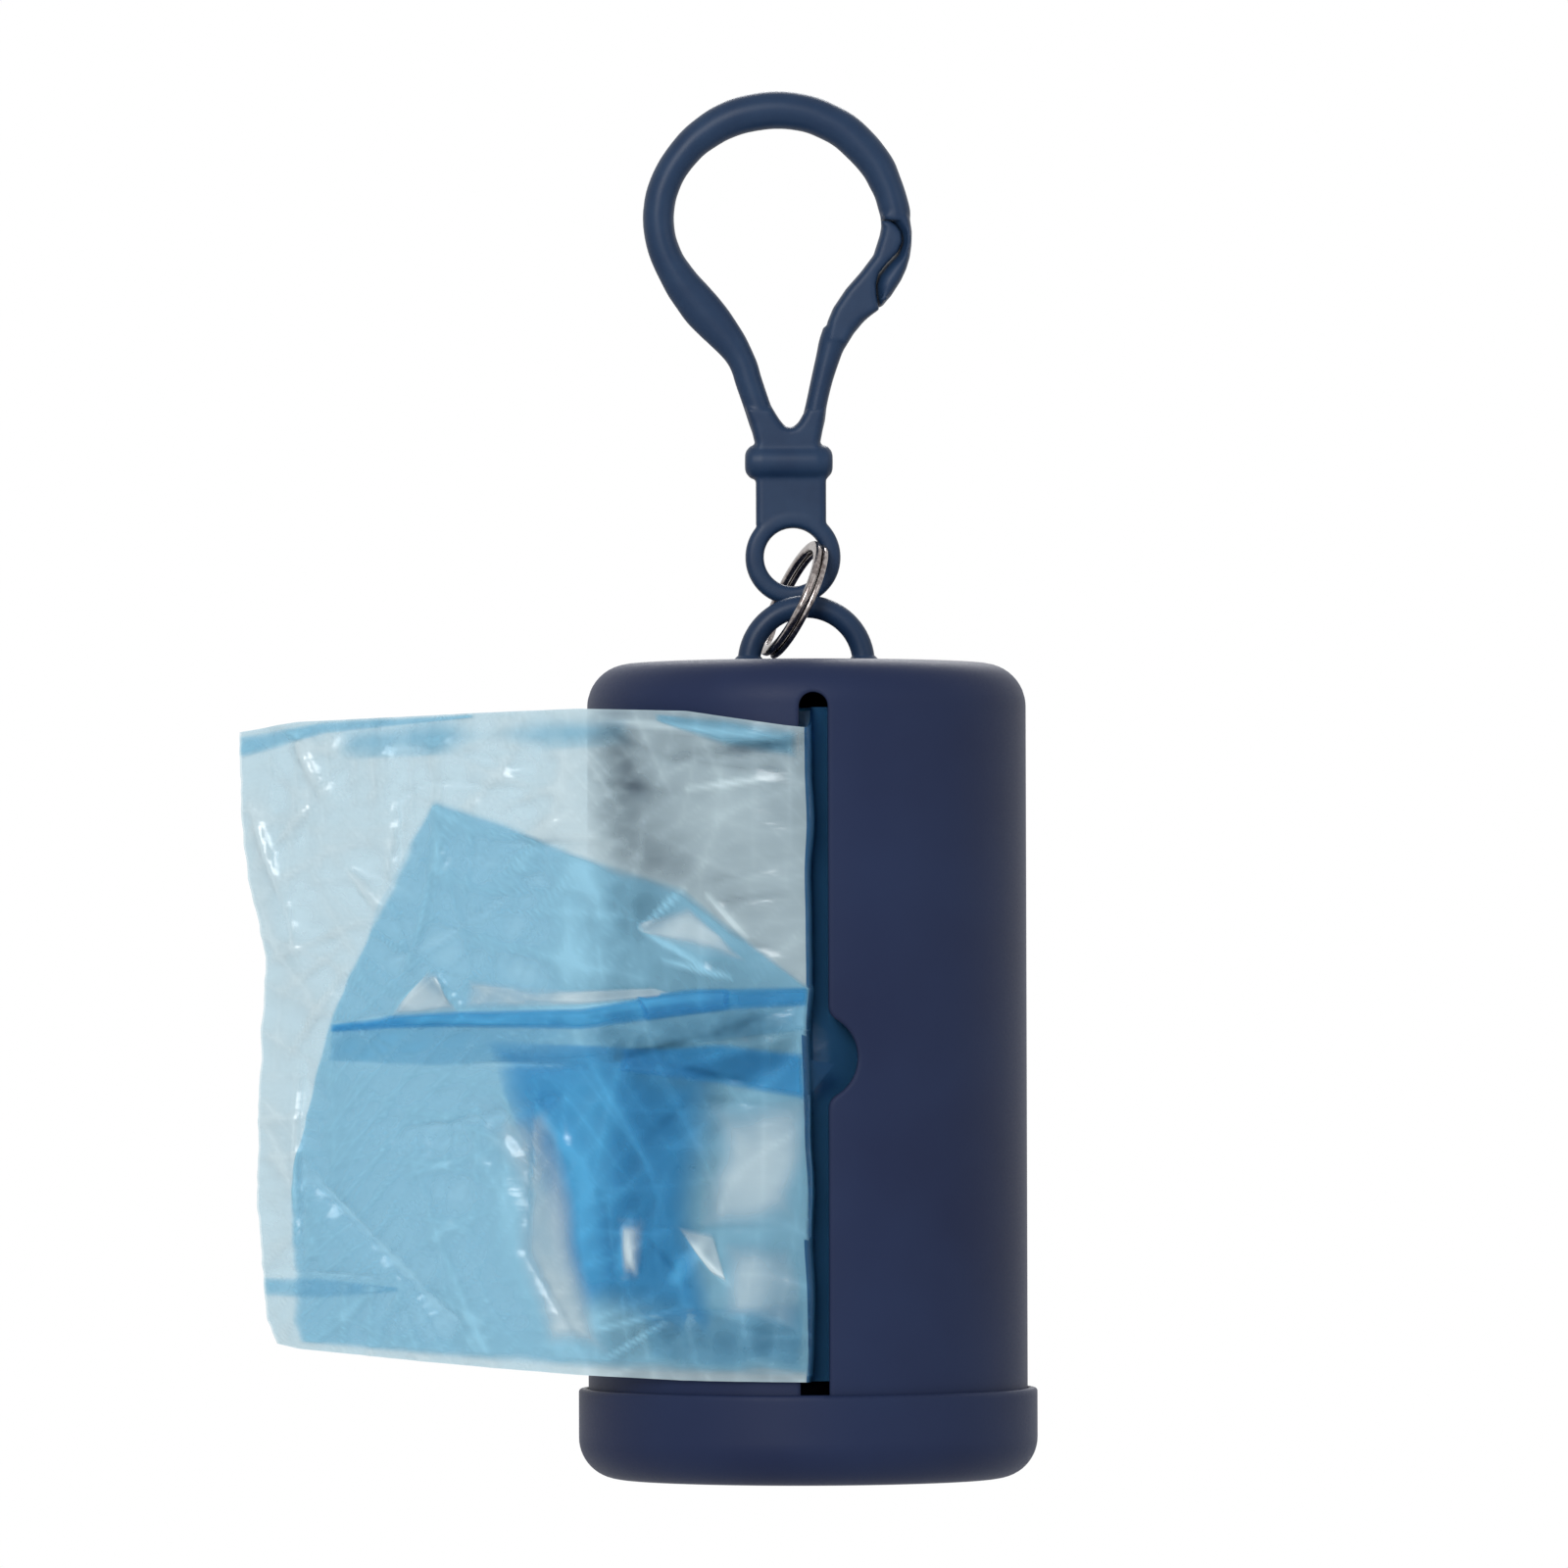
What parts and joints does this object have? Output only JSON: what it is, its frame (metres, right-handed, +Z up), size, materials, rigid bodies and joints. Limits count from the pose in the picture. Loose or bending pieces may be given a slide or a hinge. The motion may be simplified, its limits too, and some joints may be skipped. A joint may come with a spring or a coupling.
{
  "type": "dog poop bag dispenser",
  "caption": "Slotted tube that dispenses waste bags from a roll, with a press-on end cap, a split ring and a snap clip to hang it from a lead.",
  "frame": {"origin": "centre of the end cap's flat underside, on the tube's axis", "axes": "+Z up along the tube towards the clip, -Y out of the slot, -X the way the leading bag pulls out"},
  "size_m": [0.0779, 0.0446, 0.1348],
  "materials": {
    "case_plastic": "fine matte moulded",
    "clip_plastic": "satin moulded",
    "core_board": "grey-brown board",
    "bag_film": "thin clear blue film",
    "ring_steel": "polished wire"
  },
  "bodies": {
    "clip": {"clip_hook": "clip_plastic"},
    "gate": {"clip_gate": "clip_plastic"},
    "ring": {"split_ring": "ring_steel"},
    "case": {"case_body": "case_plastic", "top_loop": "clip_plastic", "bag_web": "bag_film"},
    "cap": {"end_cap": "case_plastic"},
    "roll": {"roll_core": "core_board", "bag_roll": "bag_film"},
    "bag": {"lead_bag": "bag_film"}
  },
  "joints": [
    {"name": "gate_flex", "type": "hinge", "parent": "clip", "child": "gate", "pos_m": [0.0006, 0.0024, 0.10245], "axis": [0, -1, 0], "range_deg": [0, 16], "stiffness_Nm_per_rad": 0.2},
    {"name": "ring_swing", "type": "hinge", "parent": "clip", "child": "ring", "pos_m": [-0.0012, 0.0024, 0.08965], "axis": [0, 1, 0], "range_deg": [-90, 90]},
    {"name": "case_swing", "type": "hinge", "parent": "ring", "child": "case", "pos_m": [0, 0, 0.08475], "axis": [1, 0, 0], "range_deg": [-90, 10]},
    {"name": "cap_slide", "type": "slide", "parent": "case", "child": "cap", "axis": [0, 0, -1], "range_m": [0, 0.025]},
    {"name": "bag_pull", "type": "slide", "parent": "case", "child": "bag", "axis": [-1, 0, 0], "range_m": [0, 0.03]},
    {"name": "roll_spin", "type": "hinge", "parent": "case", "child": "roll", "pos_m": [0, 0, 0.04215], "axis": [0, 0, 1], "range_deg": [-110, 0]}
  ],
  "couplings": [
    {"joint": "roll_spin", "follows": "bag_pull", "rad_per_m": -60.606}
  ]
}
